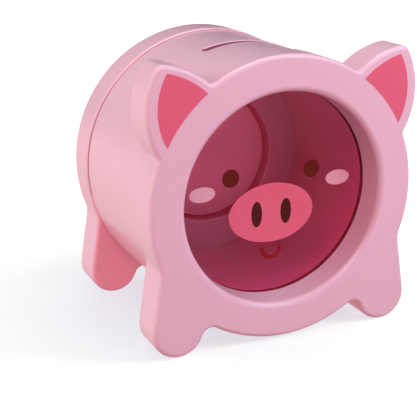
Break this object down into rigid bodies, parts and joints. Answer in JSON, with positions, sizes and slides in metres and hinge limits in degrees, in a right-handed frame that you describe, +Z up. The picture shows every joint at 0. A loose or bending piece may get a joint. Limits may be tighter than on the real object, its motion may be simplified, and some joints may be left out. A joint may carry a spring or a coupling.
{
  "type": "money box",
  "caption": "Wooden money box shaped like a pig: a drum between two plates with legs, a face on a clear front window, a coin slot on top and a stopper behind.",
  "frame": {"origin": "on the ground, under the middle of the box", "axes": "+X to the right seen from the face, +Y from the face to the back, +Z up"},
  "size_m": [0.1222, 0.0971, 0.1216],
  "materials": {
    "pink_lacquer": "satin lacquer",
    "red_print": "satin ink",
    "dark_print": "satin ink",
    "pale_print": "satin ink",
    "scarlet_print": "satin ink",
    "clear_pane": "clear",
    "dowel_wood": "bare",
    "stopper_plastic": "satin"
  },
  "bodies": {
    "money_box": {"front_plate": "pink_lacquer", "front_ring": "pink_lacquer", "slot_ring": "pink_lacquer", "rear_ring": "pink_lacquer", "back_plate": "pink_lacquer", "window_pane": "clear_pane", "left_ear_paint": "red_print", "right_ear_paint": "red_print", "snout_print": "red_print", "left_nostril_print": "dark_print", "right_nostril_print": "dark_print", "left_eye_print": "dark_print", "right_eye_print": "dark_print", "left_cheek_print": "pale_print", "right_cheek_print": "pale_print", "smile_print": "scarlet_print", "front_dowels": "dowel_wood", "ring_dowels": "dowel_wood", "rear_dowels": "dowel_wood"},
    "stopper": {"emptying_stopper": "stopper_plastic"}
  },
  "joints": [
    {"name": "stopper_pull", "type": "slide", "parent": "money_box", "child": "stopper", "axis": [0, 1, 0], "range_m": [0, 0.03]}
  ]
}
